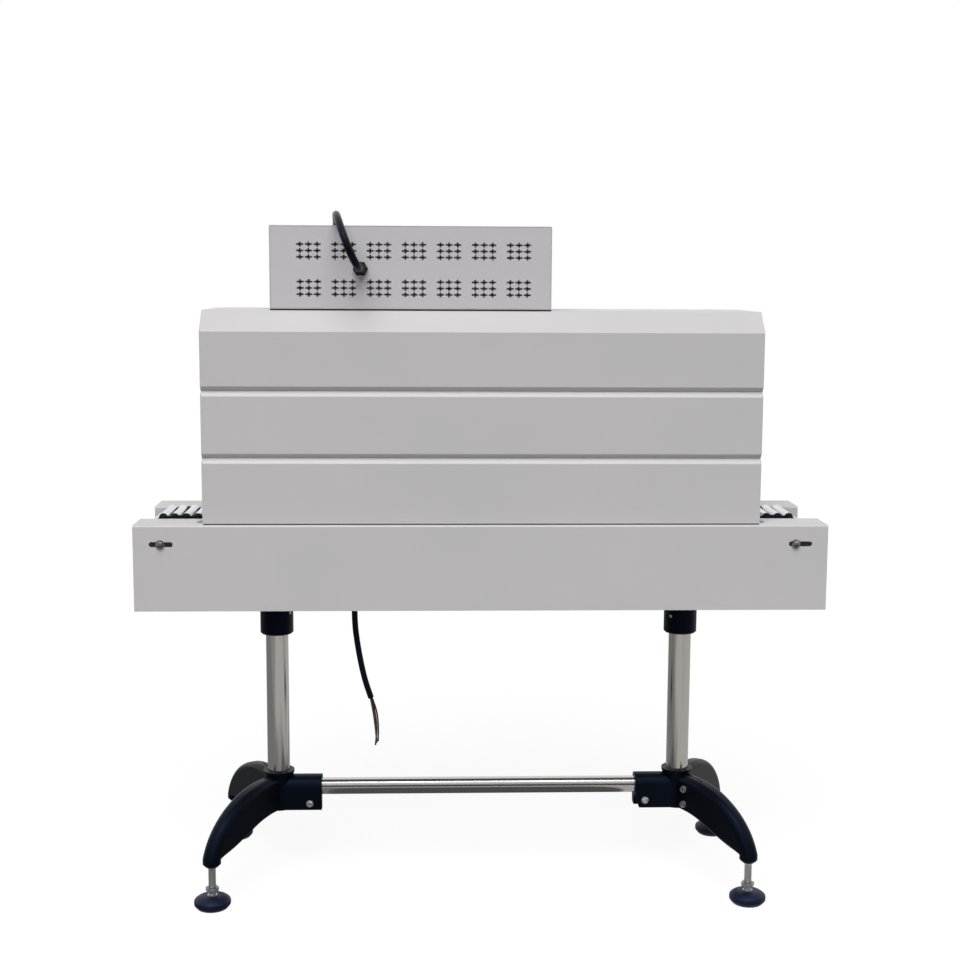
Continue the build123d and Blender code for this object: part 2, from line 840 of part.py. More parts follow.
foot_corners = {
    "near_left": (-foot_x, -foot_y),
    "near_right": (foot_x, -foot_y),
    "far_left": (-foot_x, foot_y),
    "far_right": (foot_x, foot_y),
}
with BuildPart() as spindle:
    with BuildSketch(Plane.XY.offset(pad_seat)):
        Circle(spindle_radius)
    extrude(amount=boss_bottom + spindle_hole_depth - pad_seat)
    with BuildSketch(Plane.XY.offset(nut_bottom)):
        RegularPolygon(nut_flats / 2, 6, major_radius=False)
    extrude(amount=nut_height)
save(
    moved_copies(spindle.part, [Location((x, y, 0)) for x, y in foot_corners.values()]),
    "levelling_spindles",
)

with BuildPart() as pad:
    with BuildSketch(Plane.XZ) as section:
        with BuildLine():
            Polyline((0, pad_seat), (0, 0), (pad_sole_radius, 0), (pad_radius, pad_widest), (pad_radius, pad_rim))
            TangentArc((pad_crown_radius, pad_height), (pad_radius, pad_rim), tangent=(1, 0))
            Polyline(
                (pad_crown_radius, pad_height),
                (spindle_radius + fit, pad_height),
                (spindle_radius + fit, pad_seat),
                (0, pad_seat),
            )
        make_face()
        fillet(section.vertices().group_by(Axis.X)[-1], pad_edge_round)
    revolve(axis=Axis.Z, revolution_arc=360)
for name, (x, y) in foot_corners.items():
    save(pad.part.moved(Location((x, y, 0))), f"{name}_foot_pad")
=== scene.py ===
# %% [markdown]
# This file dresses a shrink tunnel for sleeve labels. The structure comes from its CAD model as
# a fixed frame in metres, and everything here is a finish or a small piece that is laid over it.
# We load the frame first, because every later cell asks it where things are.

# %% Load the frame
from math import atan2, cos, degrees, pi, radians, sin

import bmesh
import bpy
from mathutils import Matrix, Vector


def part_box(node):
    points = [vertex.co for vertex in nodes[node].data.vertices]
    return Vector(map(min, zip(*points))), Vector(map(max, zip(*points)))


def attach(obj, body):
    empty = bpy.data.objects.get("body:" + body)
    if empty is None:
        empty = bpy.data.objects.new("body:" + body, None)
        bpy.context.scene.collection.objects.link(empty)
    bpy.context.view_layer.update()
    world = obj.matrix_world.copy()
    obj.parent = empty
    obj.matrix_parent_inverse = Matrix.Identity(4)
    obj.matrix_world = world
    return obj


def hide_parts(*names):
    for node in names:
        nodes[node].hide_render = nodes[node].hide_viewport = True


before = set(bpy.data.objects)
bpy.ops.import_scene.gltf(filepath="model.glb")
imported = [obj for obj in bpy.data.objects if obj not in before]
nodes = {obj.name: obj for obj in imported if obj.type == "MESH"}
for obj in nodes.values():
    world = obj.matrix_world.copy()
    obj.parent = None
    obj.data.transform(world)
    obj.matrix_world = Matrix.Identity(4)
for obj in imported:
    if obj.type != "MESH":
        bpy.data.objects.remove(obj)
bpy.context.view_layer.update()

MM = 0.001
X, Z = 0, 2


def middle(node, axis):
    """The middle of a node's box along one axis, in millimetres."""
    low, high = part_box(node)
    return (low[axis] + high[axis]) / 2 / MM


# %% [markdown]
# The camera stands a little above the hood, slightly left of the middle, and looks down by seven
# and a half degrees. Its lens and place were solved from the edges of the rails and the hood, so
# they are written as numbers and not found by eye. Its three angles are in radians.

# %% Camera
camera_place = Vector((-0.1234, -3.4146, 1.3696))
turn, dip, lean = -0.036, 0.132, 0.005
focal_length, farthest_seen = 57.0, 200

ahead = Vector((-sin(turn) * cos(dip), cos(turn) * cos(dip), -sin(dip)))
level_right = ahead.cross(Vector((0, 0, 1))).normalized()
level_up = level_right.cross(ahead)
camera_right = level_right * cos(lean) + level_up * sin(lean)
camera_up = level_up * cos(lean) - level_right * sin(lean)
camera_axes = Matrix((camera_right, camera_up, -ahead)).transposed()

camera_data = bpy.data.cameras.new("front_camera")
camera_data.lens = focal_length
camera_data.clip_end = farthest_seen
camera = bpy.data.objects.new("front_camera", camera_data)
bpy.context.collection.objects.link(camera)
camera.matrix_world = Matrix.Translation(camera_place) @ camera_axes.to_4x4()
bpy.context.scene.camera = camera
bpy.context.scene.view_settings.view_transform = "Standard"
print("camera looks along", [round(c, 3) for c in ahead])

# %% [markdown]
# Two cables show: a thick lead that arches from the control box to the hood's roof, and the mains
# cable, which hangs below the conveyor and ends in three stripped cores. A cable is a fixed length
# of something springy, so each is one smooth curve through a few listed points, with a round
# bevel. A curve keeps its length and bends evenly, which a chain of cylinders doesn't.

# %% Cables
lead_radius, mains_radius, core_radius = 8.1, 6.7, 1.9


def cable(name, route, radius):
    """A round cable on one smooth open curve; the route is in millimetres."""
    line = bpy.data.curves.new(name, "CURVE")
    line.dimensions = "3D"
    line.bevel_depth = radius * MM
    line.bevel_resolution = 5
    line.resolution_u = 12
    line.use_fill_caps = True
    spline = line.splines.new("NURBS")
    spline.points.add(len(route) - 1)
    for point, (x, y, z) in zip(spline.points, route):
        point.co = (x * MM, y * MM, z * MM, 1)
    spline.order_u = 3
    spline.use_endpoint_u = True
    piece = bpy.data.objects.new(name, line)
    bpy.context.collection.objects.link(piece)
    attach(piece, "root")
    return piece


lead_route = [
    (-262.6, -160, 1388.3), (-262.6, -193, 1388.3), (-269, -221, 1398), (-282, -234, 1426),
    (-296, -222, 1462), (-309, -174, 1496), (-315, -119, 1505), (-318, -63, 1497),
    (-320, -10, 1487), (-322, 42, 1491), (-325, 92, 1505), (-329, 134, 1499),
    (-332, 156, 1465), (-332, 150, 1423), (-331, 125, 1388), (-331, 111, 1355),
    (-331, 111, 1326),
]
box_lead = cable("box_to_roof_lead", lead_route, lead_radius)
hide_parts("box_lead")

mains_route = [
    (-283, -60, 637), (-283, -60, 600), (-277, -60, 551),
    (-268, -60, 500), (-258, -60, 458), (-247, -60, 427),
]
mains_cable = cable("mains_lead", mains_route, mains_radius)
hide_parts("mains_cable")
print("cables", len(lead_route), "and", len(mains_route), "points")

# %% [markdown]
# The cores are thin wires in coloured insulation that fan out of the cut jacket and hang. They are
# made as the cables are, and the frame's own cores are hidden.

# %% Stripped cores
core_routes = {
    "upper": [
        (-246.7, -57.9, 426.9), (-240, -57.5, 401), (-235.5, -57.3, 373), (-234.5, -57.2, 344),
        (-237.5, -57.2, 315),
    ],
    "left": [
        (-248.5, -61.1, 426.3), (-243.5, -61.2, 402), (-239.5, -61.2, 375), (-236.5, -61.2, 348),
        (-234.5, -61.2, 321),
    ],
    "right": [
        (-244.9, -61.1, 427.6), (-235.5, -61.5, 402.5), (-231.5, -61.5, 376), (-230.5, -61.5, 349),
        (-231.5, -61.5, 325),
    ],
}
cores = []
for name, route in core_routes.items():
    core = cable(f"stripped_core_{name}", route, core_radius)
    cores.append(core)
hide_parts("mains_cores")
print("cores", len(cores))

# %% [markdown]
# Blender builds a material from nodes, and we need dozens of them. Three small helpers keep that
# short: one turns a colour as we read it on a screen into the linear one that shaders use, one
# adds a node, and one tells the rays that the lens sees from those that only light the object.

# %% Colours and nodes
def linear(hex_colour):
    """An sRGB hex colour as the linear colour that shaders use."""
    parts = [int(hex_colour[i:i + 2], 16) / 255 for i in (1, 3, 5)]
    return [p / 12.92 if p <= 0.04045 else ((p + 0.055) / 1.055) ** 2.4 for p in parts] + [1]


def add_node(tree, kind, sockets=None, **settings):
    """One node, with its settings, and each socket given a value or a link."""
    made = tree.nodes.new(kind)
    for key, value in settings.items():
        setattr(made, key, value)
    for key, value in (sockets or {}).items():
        if isinstance(value, bpy.types.NodeSocket):
            tree.links.new(value, made.inputs[key])
        else:
            made.inputs[key].default_value = value
    return made


def seen_directly(tree):
    """One for rays from the lens, from a gloss or through glass, and otherwise zero."""
    path = add_node(tree, "ShaderNodeLightPath")
    lens, gloss, through = (path.outputs[f"Is {ray} Ray"] for ray in ("Camera", "Glossy", "Transmission"))
    some = add_node(tree, "ShaderNodeMath", {0: lens, 1: gloss}, operation="MAXIMUM")
    both = add_node(tree, "ShaderNodeMath", {0: some.outputs[0], 1: through}, operation="MAXIMUM")
    return both.outputs[0]


print("white is linear", linear("#FFFFFF"))

# %% [markdown]
# The machine stands in a plain white studio. The floor and the world are white only for rays that
# come from the lens or from a gloss, so the backdrop is white while the object is lit at a plain
# level. The floor still takes a shadow, because part of its white is a paint that needs light.

# %% World and floor
world = bpy.data.worlds.new("white_studio")
bpy.context.scene.world = world
world.use_nodes = True
tree = world.node_tree
tree.nodes.clear()
fill = add_node(tree, "ShaderNodeBackground", {"Color": linear("#F4F6FA"), "Strength": 0.10})
white = add_node(tree, "ShaderNodeBackground", {"Color": (1, 1, 1, 1), "Strength": 1.0})
mixed = add_node(tree, "ShaderNodeMixShader",
                 {0: seen_directly(tree), 1: fill.outputs[0], 2: white.outputs[0]})
add_node(tree, "ShaderNodeOutputWorld", {"Surface": mixed.outputs[0]})

bpy.ops.mesh.primitive_plane_add(size=60, location=(0, 0, 0))
floor = bpy.context.object
floor.name = "studio_floor"
floor_paint = bpy.data.materials.new("matt_white_studio_floor")
floor_paint.use_nodes = True
tree = floor_paint.node_tree
tree.nodes.clear()
matt = add_node(tree, "ShaderNodeBsdfDiffuse", {"Color": linear("#A0A0A0")})
faint = add_node(tree, "ShaderNodeBsdfDiffuse", {"Color": linear("#626262")})
glow = add_node(tree, "ShaderNodeEmission", {"Color": (1, 1, 1, 1), "Strength": 0.91})
lit = add_node(tree, "ShaderNodeAddShader", {0: faint.outputs[0], 1: glow.outputs[0]})
either = add_node(tree, "ShaderNodeMixShader",
                  {0: seen_directly(tree), 1: matt.outputs[0], 2: lit.outputs[0]})
add_node(tree, "ShaderNodeOutputMaterial", {"Surface": either.outputs[0]})
floor.data.materials.append(floor_paint)
print("world", world.name, "floor", [round(d) for d in floor.dimensions])

# %% [markdown]
# One broad lamp from above and in front gives the slanted faces their lighter tone, and a low one
# behind catches the edges. Both are suns, so the light is the same over the whole machine. The low
# one is kept out of the gloss, where its reflection would burn out the tops of the rails.

# %% Lamps
def sun_lamp(name, energy, softness, turned, colour):
    """A lamp so far away that its rays are parallel; its softness and turn are in degrees."""
    data = bpy.data.lights.new(name, "SUN")
    data.energy = energy
    data.angle = radians(softness)
    data.color = colour
    lamp = bpy.data.objects.new(name, data)
    bpy.context.collection.objects.link(lamp)
    lamp.rotation_euler = [radians(angle) for angle in turned]
    print(name, "energy", energy)
    return lamp


sun_lamp("broad_front_lamp", 2.95, 50, (38, 0, -8), (1.0, 0.99, 0.985))
back_lamp = sun_lamp("low_back_lamp", 0.55, 30, (-78, 0, -18), (1, 1, 1))
back_lamp.visible_glossy = False

# %% [markdown]
# Polished tube shows its surroundings more than its own colour. A pure white room would leave the
# tubes without any form, so grey cards stand where only a gloss can see them, as a photographer
# hangs black cloth round a shiny thing. They lie on the floor, and stand before the machine, behind
# the lens and at both sides.

# %% Cards for the gloss
def gloss_card(name, place, size, turned, tone):
    """A flat glowing card that only gloss rays meet; its size is in metres, its turn in degrees."""
    paint = bpy.data.materials.new(f"{name}_paint")
    paint.use_nodes = True
    tree = paint.node_tree
    tree.nodes.clear()
    shine = add_node(tree, "ShaderNodeEmission", {"Color": linear(tone), "Strength": 1.0})
    add_node(tree, "ShaderNodeOutputMaterial", {"Surface": shine.outputs[0]})
    bpy.ops.mesh.primitive_plane_add(size=1, location=place)
    card = bpy.context.object
    card.name = name
    card.scale = (*size, 1)
    card.rotation_euler = [radians(angle) for angle in turned]
    card.data.materials.append(paint)
    card.visible_camera = False
    card.visible_diffuse = False
    card.visible_shadow = False
    card.visible_transmission = False


just_above = 0.003
lying, facing, sideways = (0, 0, 0), (90, 0, 0), (90, 0, 90)
cards = {
    "card_floor_under": ((0, -0.18, just_above), (0.72, 1.0), lying, "#5C5D5F"),
    "card_floor_under_front": ((0, -0.89, just_above), (0.72, 0.42), lying, "#A8A7A5"),
    "card_floor_behind": ((0, 2.71, just_above), (0.72, 4.78), lying, "#9B9A98"),
    "card_floor_beside_left": ((-3.23, 2.0, just_above), (5.74, 6.2), lying, "#8B8A88"),
    "card_floor_beside_right": ((3.23, 2.0, just_above), (5.74, 6.2), lying, "#C8C6C2"),
    "card_front_low": ((0, -7.0, 3.5), (13, 2.4), facing, "#8A8B8E"),
    "card_front_high": ((0, -7.0, 8.6), (13, 7.8), facing, "#C4C5C8"),
    "card_floor_left": ((-3.6, -4.1, just_above), (5, 6), lying, "#A3A2A0"),
    "card_floor_middle": ((0.05, -4.1, just_above), (2.3, 6), lying, "#CAC8C4"),
    "card_floor_right": ((3.7, -4.1, just_above), (5, 6), lying, "#C2C0BC"),
    "card_behind_lens": ((0, -7.2, 1.3), (12.4, 2.6), facing, "#2E2F33"),
    "card_wall_left": ((-6.1, -3.2, 1.1), (8, 2.2), sideways, "#4E4F52"),
    "card_wall_right": ((6.2, -3.2, 1.1), (8, 2.2), sideways, "#5A5B5E"),
}
for name, (place, size, turned, tone) in cards.items():
    gloss_card(name, place, size, turned, tone)
print("cards", len(cards))

# %% [markdown]
# Each finish is named for what the real one is. The sheet metal is mild steel with a light grey
# powder coat: baked paint that is even in colour and slightly pebbled, which breaks up the gloss.
# The pebbles are about a millimetre across, and are drawn at two so that they show at all. The
# control box's coat has a trace of violet, and it is painted a shade lighter than the hood's: painted
# light, for the light back from the floor that the box, standing high, gets less of.

# %% Powder coats
def start_finish(name, colour, metallic, roughness):
    """A material with one shader, its plain values set, and coordinates in metres."""
    finish = bpy.data.materials.new(name)
    finish.use_nodes = True
    tree = finish.node_tree
    tree.nodes.clear()
    shader = add_node(tree, "ShaderNodeBsdfPrincipled",
                      {"Base Color": linear(colour), "Metallic": metallic, "Roughness": roughness})
    add_node(tree, "ShaderNodeOutputMaterial", {"Surface": shader.outputs[0]})
    place = add_node(tree, "ShaderNodeTexCoord")
    return finish, tree, shader, place.outputs["Object"]


def vary(tree, shader, pattern, tones=None, gloss=None, relief=None):
    """A pattern drives a finish: two tones, two roughnesses, or a relief's strength and depth."""
    if tones:
        dark, light = (linear(tone) for tone in tones)
        tone = add_node(tree, "ShaderNodeMix", {"Factor": pattern, "A": dark, "B": light}, data_type="RGBA")
        tree.links.new(tone.outputs["Result"], shader.inputs["Base Color"])
    if gloss:
        least, most = gloss
        spread = add_node(tree, "ShaderNodeMapRange", {"Value": pattern, "To Min": least, "To Max": most})
        tree.links.new(spread.outputs["Result"], shader.inputs["Roughness"])
    if relief:
        strength, depth = relief
        bump = add_node(tree, "ShaderNodeBump", {"Height": pattern, "Strength": strength, "Distance": depth})
        tree.links.new(bump.outputs["Normal"], shader.inputs["Normal"])


def baked_coat(name, dark, light):
    """Grey powder coat, pebbled like the skin of an orange and faintly clouded."""
    finish, tree, shader, place = start_finish(name, "#CBCACB", 0.0, 0.4)
    cloud = add_node(tree, "ShaderNodeTexNoise", {"Vector": place, "Scale": 3.0, "Detail": 3.0})
    vary(tree, shader, cloud.outputs["Fac"], tones=(dark, light))
    pebble = add_node(tree, "ShaderNodeTexNoise", {"Vector": place, "Scale": 1 / (2.0 * MM), "Detail": 1.0})
    vary(tree, shader, pebble.outputs["Fac"], gloss=(0.36, 0.46), relief=(0.12, 0.05 * MM))
    return finish


powder_coat = baked_coat("light_grey_powder_coat_baked", "#C5C5C7", "#D0CECF")
# painted light: the box's coat is lighter than the hood's for the light it misses; its violet trace is its
# own
box_coat_painted_lighter = baked_coat("violet_grey_powder_coat_of_the_box_painted_lighter", "#CBC9CD", "#D1CFD4")
print("coats", powder_coat.name, box_coat_painted_lighter.name)

# %% [markdown]
# Hidden sheet is hot-dipped in zinc, which freezes in flowers about nine millimetres across. Bolts
# and shafts are plated with bright zinc, which is finer and slightly gritty, and the levelling
# spindles have a rolled thread under theirs. A thread is a fine helix; bands across the spindle
# look the same at this distance and cost nothing. The bands' dark part is painted shade in the
# roots of the thread, and their light part painted light on its crests.

# %% Zinc finishes
galvanised, tree, shader, place = start_finish("hot_dip_galvanised_sheet", "#A9ACAE", 1.0, 0.4)
flower = add_node(tree, "ShaderNodeTexVoronoi", {"Vector": place, "Scale": 1 / (9.0 * MM)})
vary(tree, shader, flower.outputs["Distance"], tones=("#B4B7B9", "#8F9396"), gloss=(0.34, 0.5))

zinc_plate, tree, shader, place = start_finish("bright_zinc_plated_steel", "#C6C8C8", 1.0, 0.3)
grit = add_node(tree, "ShaderNodeTexNoise", {"Vector": place, "Scale": 1 / (0.8 * MM), "Detail": 2.0})
vary(tree, shader, grit.outputs["Fac"], tones=("#B0B1AE", "#D2D4D6"), gloss=(0.2, 0.42))

# the wave's phase is twenty times its scale, so one turn of the thread needs this scale
thread_pitch = 2.0 * MM
thread_scale = 2 * pi / (20 * thread_pitch)
threaded, tree, shader, place = start_finish("zinc_plated_rolled_thread", "#B9BBBB", 1.0, 0.32)
turns = add_node(tree, "ShaderNodeTexWave", {"Vector": place, "Scale": thread_scale}, bands_direction="Z")
# painted shade and light: the bands are darker in the thread's roots and lighter on its crests
vary(tree, shader, turns.outputs["Fac"], tones=("#7C7E80", "#CBCDCE"), relief=(0.7, 0.5 * MM))
print("zinc", galvanised.name, zinc_plate.name, threaded.name)

# %% [markdown]
# The rollers are ground, which leaves fine rings round each barrel, and then plated.
# The chain is dark steel under a film of oil that lies thicker in some places than in others.

# %% Roller and chain steel
rings_per_metre, streaks_per_metre = 900, 60
ground_steel, tree, shader, place = start_finish("ground_and_plated_roller_steel", "#D4D7DC", 1.0, 0.2)
along = add_node(tree, "ShaderNodeMapping",
                 {"Vector": place, "Scale": (streaks_per_metre, rings_per_metre, streaks_per_metre)})
rings = add_node(tree, "ShaderNodeTexNoise", {"Vector": along.outputs["Vector"], "Scale": 1.0, "Detail": 3.0})
vary(tree, shader, rings.outputs["Fac"], gloss=(0.14, 0.32), relief=(0.15, 0.1 * MM))

chain_steel, tree, shader, place = start_finish("oiled_black_chain_steel", "#26282C", 0.85, 0.38)
film = add_node(tree, "ShaderNodeTexNoise", {"Vector": place, "Scale": 1 / (6.0 * MM), "Detail": 4.0})
vary(tree, shader, film.outputs["Fac"], tones=("#17181B", "#3A3C40"), gloss=(0.22, 0.55))
print("steels", ground_steel.name, chain_steel.name)

# %% [markdown]
# The posts and the cross tube are drawn stainless tube, polished along their length. That leaves
# lines that run with the tube, so a noise is stretched: narrow across and long the other way. The
# real lines are finer than a pixel, and two millimetres is as fine as the picture can show.

# %% Polished tube
line_spacing, line_length = 2.0 * MM, 250 * MM
across_lines, along_lines = 1 / line_spacing, 1 / line_length


def polished_tube(name, stretch):
    """Drawn stainless tube: fine lines run the way that the stretch is smallest."""
    finish, tree, shader, place = start_finish(name, "#C9C8C6", 1.0, 0.12)
    lines = add_node(tree, "ShaderNodeMapping", {"Vector": place, "Scale": stretch})
    drawn = add_node(tree, "ShaderNodeTexNoise",
                     {"Vector": lines.outputs["Vector"], "Scale": 1.0, "Detail": 4.0})
    vary(tree, shader, drawn.outputs["Fac"], tones=("#BFBDBA", "#D3D2D0"), gloss=(0.07, 0.24),
         relief=(0.12, 0.05 * MM))
    return finish


upright_tube = polished_tube("polished_stainless_tube_upright", (across_lines, across_lines, along_lines))
level_tube = polished_tube("polished_stainless_tube_level", (along_lines, across_lines, across_lines))
print("tubes", upright_tube.name, level_tube.name)

# %% [markdown]
# The pedestals are glass-filled nylon mouldings, almost black with a cold blue cast where they
# catch the light. The mould is finely textured, so the gloss is broad, and the feet are a little
# lighter and scuffed. The chain's guides and the small controls are a duller black plastic.

# %% Plastics
def cold_sheen(shader, strength, tint):
    """How strong the gloss of a dark plastic is when seen from straight above, and its colour."""
    shader.inputs["Specular IOR Level"].default_value = strength
    shader.inputs["Specular Tint"].default_value = linear(tint)


nylon, tree, shader, place = start_finish("glass_filled_nylon_moulded", "#0B0E17", 0.0, 0.36)
cold_sheen(shader, 0.16, "#86AEF0")
grain = add_node(tree, "ShaderNodeTexNoise", {"Vector": place, "Scale": 1 / (1.6 * MM), "Detail": 2.0})
vary(tree, shader, grain.outputs["Fac"], gloss=(0.3, 0.46), relief=(0.18, 0.08 * MM))
flow = add_node(tree, "ShaderNodeTexNoise", {"Vector": place, "Scale": 14.0, "Detail": 2.0})
vary(tree, shader, flow.outputs["Fac"], tones=("#040508", "#090C14"))

foot_nylon, tree, shader, place = start_finish("satin_nylon_foot_moulded", "#151A2A", 0.0, 0.42)
cold_sheen(shader, 0.3, "#9FB8F0")
scuff = add_node(tree, "ShaderNodeTexNoise", {"Vector": place, "Scale": 1 / (5.0 * MM), "Detail": 4.0})
vary(tree, shader, scuff.outputs["Fac"], tones=("#0B0E1A", "#181D33"), gloss=(0.32, 0.6))

slide_plastic, tree, shader, place = start_finish("black_polyethylene_slide_machined", "#1C1D1F", 0.0, 0.5)
machining = add_node(tree, "ShaderNodeTexWave", {"Vector": place, "Scale": 40.0, "Distortion": 1.0},
                     bands_direction="X")
vary(tree, shader, machining.outputs["Fac"], gloss=(0.42, 0.58))
print("plastics", nylon.name, foot_nylon.name, slide_plastic.name)

# %% [markdown]
# The cable jackets are soft PVC, pressed through a die that leaves faint streaks and a smooth skin.
# The cores are the same stuff in brown, olive and near black.

# %% Cable skins
def cable_skin(name, dark, light, roughness):
    """Extruded PVC: faint streaks left by the die, and a broad soft gloss."""
    finish, tree, shader, place = start_finish(name, dark, 0.0, roughness)
    cold_sheen(shader, 0.17, "#A9BCE8")
    streak = add_node(tree, "ShaderNodeTexNoise", {"Vector": place, "Scale": 1 / (4.0 * MM), "Detail": 3.0})
    vary(tree, shader, streak.outputs["Fac"], tones=(dark, light), gloss=(roughness - 0.05, roughness + 0.1))
    return finish


pvc = cable_skin("black_extruded_pvc_jacket", "#07080C", "#10131B", 0.3)
core_skins = [
    cable_skin("brown_pvc_core_insulation", "#402925", "#593A36", 0.4),
    cable_skin("olive_pvc_core_insulation", "#393B30", "#56543F", 0.4),
    cable_skin("dark_pvc_core_insulation", "#2C2426", "#453838", 0.4),
]
for jacketed in (box_lead, mains_cable):
    jacketed.data.materials.append(pvc)
for core, skin in zip(cores, core_skins):
    core.data.materials.append(skin)
print("cable skins", 1 + len(core_skins))

# %% [markdown]
# Now every node of the frame gets its finish. A node's shape is right already, so only its
# material slots change.

# %% Finish the frame's own nodes
finish_of = {
    powder_coat: [
        "near_side_rail", "far_side_rail", "near_lower_panel", "far_lower_panel", "near_middle_panel",
        "far_middle_panel", "hood_top_cover", "left_end_plate", "right_end_plate",
    ],
    box_coat_painted_lighter: ["control_box_body", "vent_panel", "control_panel"],
    galvanised: ["belly_pan", "tunnel_liner", "hood_hold_downs", "box_spacers"],
    zinc_plate: ["idler_shaft", "drive_shaft", "take_up_bolts"],
    threaded: ["levelling_spindles"],
    ground_steel: ["conveyor_rollers"],
    chain_steel: ["near_chain", "far_chain", "sprockets"],
    slide_plastic: ["chain_guides", "control_knobs", "control_switches", "control_meters"],
    upright_tube: ["left_post", "right_post"],
    level_tube: ["cross_tube"],
    nylon: [
        "left_top_socket", "right_top_socket", "left_bipod", "right_bipod", "box_gland", "roof_gland",
        "mains_gland",
    ],
    foot_nylon: ["near_left_foot_pad", "near_right_foot_pad", "far_left_foot_pad", "far_right_foot_pad"],
    pvc: ["box_lead", "mains_cable", "mains_cores"],
}
finished = []
for finish, names in finish_of.items():
    for name in names:
        mesh = nodes[name].data
        mesh.materials.clear()
        mesh.materials.append(finish)
        finished.append(name)
print("finished", len(finished), "left out", sorted(set(nodes) - set(finished)))

# %% [markdown]
# The same few steps come back in every piece: select things, copy a node, name and shade the
# result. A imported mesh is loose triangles, so a copy is merged first: an operator such as bevel or
# inset needs faces that share their edges.

# %% Choose and copy
def only(*chosen):
    """Selects just these objects, with the first one active."""
    bpy.ops.object.select_all(action="DESELECT")
    for piece in chosen:
        piece.select_set(True)
    bpy.context.view_layer.objects.active = chosen[0]


def pick(piece, kind, test):
    """Enters edit mode and selects the faces or edges that pass the test."""
    only(piece)
    bpy.ops.object.mode_set(mode="EDIT")
    bpy.ops.mesh.select_mode(type=kind)
    bpy.ops.mesh.select_all(action="DESELECT")
    mesh = bmesh.from_edit_mesh(piece.data)
    parts = mesh.faces if kind == "FACE" else mesh.edges
    chosen = [part for part in parts if test(part)]
    for part in chosen:
        part.select_set(True)
    bmesh.update_edit_mesh(piece.data)
    return len(chosen)


def merged_copy(node, name):
    """A copy of a node whose loose triangles are merged into whole faces."""
    piece = bpy.data.objects.new(name, nodes[node].data.copy())
    bpy.context.collection.objects.link(piece)
    only(piece)
    bpy.ops.object.mode_set(mode="EDIT")
    bpy.ops.mesh.select_all(action="SELECT")
    bpy.ops.mesh.remove_doubles(threshold=0.01 * MM)
    bpy.ops.mesh.dissolve_limited(angle_limit=radians(1))
    bpy.ops.object.mode_set(mode="OBJECT")
    return piece


print("the packed roof has", len(nodes["hood_top_cover"].data.polygons), "triangles")

# %% [markdown]
# A finished piece keeps its place in its mesh, with its origin at the frame's. Faces that meet at
# less than 35 degrees are shaded as one smooth surface. On a bevelled plate that would bend the
# light on the flat faces too, so there the large faces get the say over the normals.

# %% Name and shade
def settle(piece, name, finish):
    """Puts a piece's place in its mesh, names and shades it, and hangs it on the frame."""
    only(piece)
    bpy.ops.object.transform_apply(location=True, rotation=True, scale=True)
    bpy.ops.object.shade_smooth_by_angle(angle=radians(35))
    piece.name = name
    piece.data.name = name
    piece.data.materials.clear()
    piece.data.materials.append(finish)
    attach(piece, "root")


def turns_by(edge, low, high):
    """True for an edge whose two faces turn by an angle between the limits, in degrees."""
    return len(edge.link_faces) == 2 and low < degrees(edge.calc_face_angle(0)) < high


def even_out_normals(piece):
    """Lets the large flat faces decide the normals, so that only narrow bends look round."""
    bpy.ops.object.modifier_add(type="WEIGHTED_NORMAL")
    piece.modifiers[-1].keep_sharp = True
    piece.modifiers[-1].weight = 100
    bpy.ops.object.modifier_apply(modifier=piece.modifiers[-1].name)


# the rails stand equally high, and much of the hood is placed from their tops
rail_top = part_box("near_side_rail")[1].z
print("rails end at", round(rail_top, 4))

# %% [markdown]
# Sheet metal is never folded to a razor edge: the outside of each bend has a radius of about the
# sheet's thickness, and it catches a bright line of light. The frame's panels have sharp folds,
# so each gets a copy whose folds are bevelled, which then stands for the node. The hood's panels
# meet at shallow angles and are rounded more than the square edges of plates, rails and box.

# %% Rounded folds
def rounded_copy(node, name, finish, width, low, high):
    """A node's copy with the edges that turn by low to high degrees bevelled, in millimetres."""
    piece = merged_copy(node, name)
    count = pick(piece, "EDGE", lambda edge: turns_by(edge, low, high))
    bpy.ops.mesh.bevel(offset=width * MM, segments=3, affect="EDGES", clamp_overlap=True)
    bpy.ops.object.mode_set(mode="OBJECT")
    settle(piece, name, finish)
    even_out_normals(piece)
    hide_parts(node)
    print(name, "edges rounded", count, "faces", len(piece.data.polygons))


fold, shallow = 1.3, (15, 80)
corner, square = 0.5, (60, 100)
side_panels = ("near_lower_panel", "far_lower_panel", "near_middle_panel", "far_middle_panel")
for node in (*side_panels, "hood_top_cover"):
    rounded_copy(node, f"{node}_folded", powder_coat, fold, *shallow)
for node in ("left_end_plate", "right_end_plate", "near_side_rail", "far_side_rail"):
    rounded_copy(node, f"{node}_folded", powder_coat, corner, *square)
rounded_copy("control_box_body", "control_box_wrap", box_coat_painted_lighter, corner, *square)

# %% [markdown]
# Crosses are punched in the vent panel, and on the real one each is clearly wider than it is tall.
# The frame's upright slots nearly meet, so on a copy of the panel their ends move inwards. The
# ends are the short level edges, found by their length and by the side of the slot below them.

# %% Vent panel with lower crosses
stroke, slot_side, shortened, near_enough = 3.8 * MM, 4.1 * MM, 0.7 * MM, 0.1 * MM


def ends_a_slot(edge, way):
    """True for the level edge that closes an upright slot at its top (way 1) or foot (way -1)."""
    start, end = (corner.co for corner in edge.verts)
    across = end - start
    if abs(abs(across.x) - stroke) > near_enough or max(abs(across.y), abs(across.z)) > near_enough:
        return False
    for side in edge.verts[0].link_edges:
        step = side.other_vert(edge.verts[0]).co - start
        if max(abs(step.x), abs(step.y), abs(step.z + way * slot_side)) < near_enough:
            return True
    return False


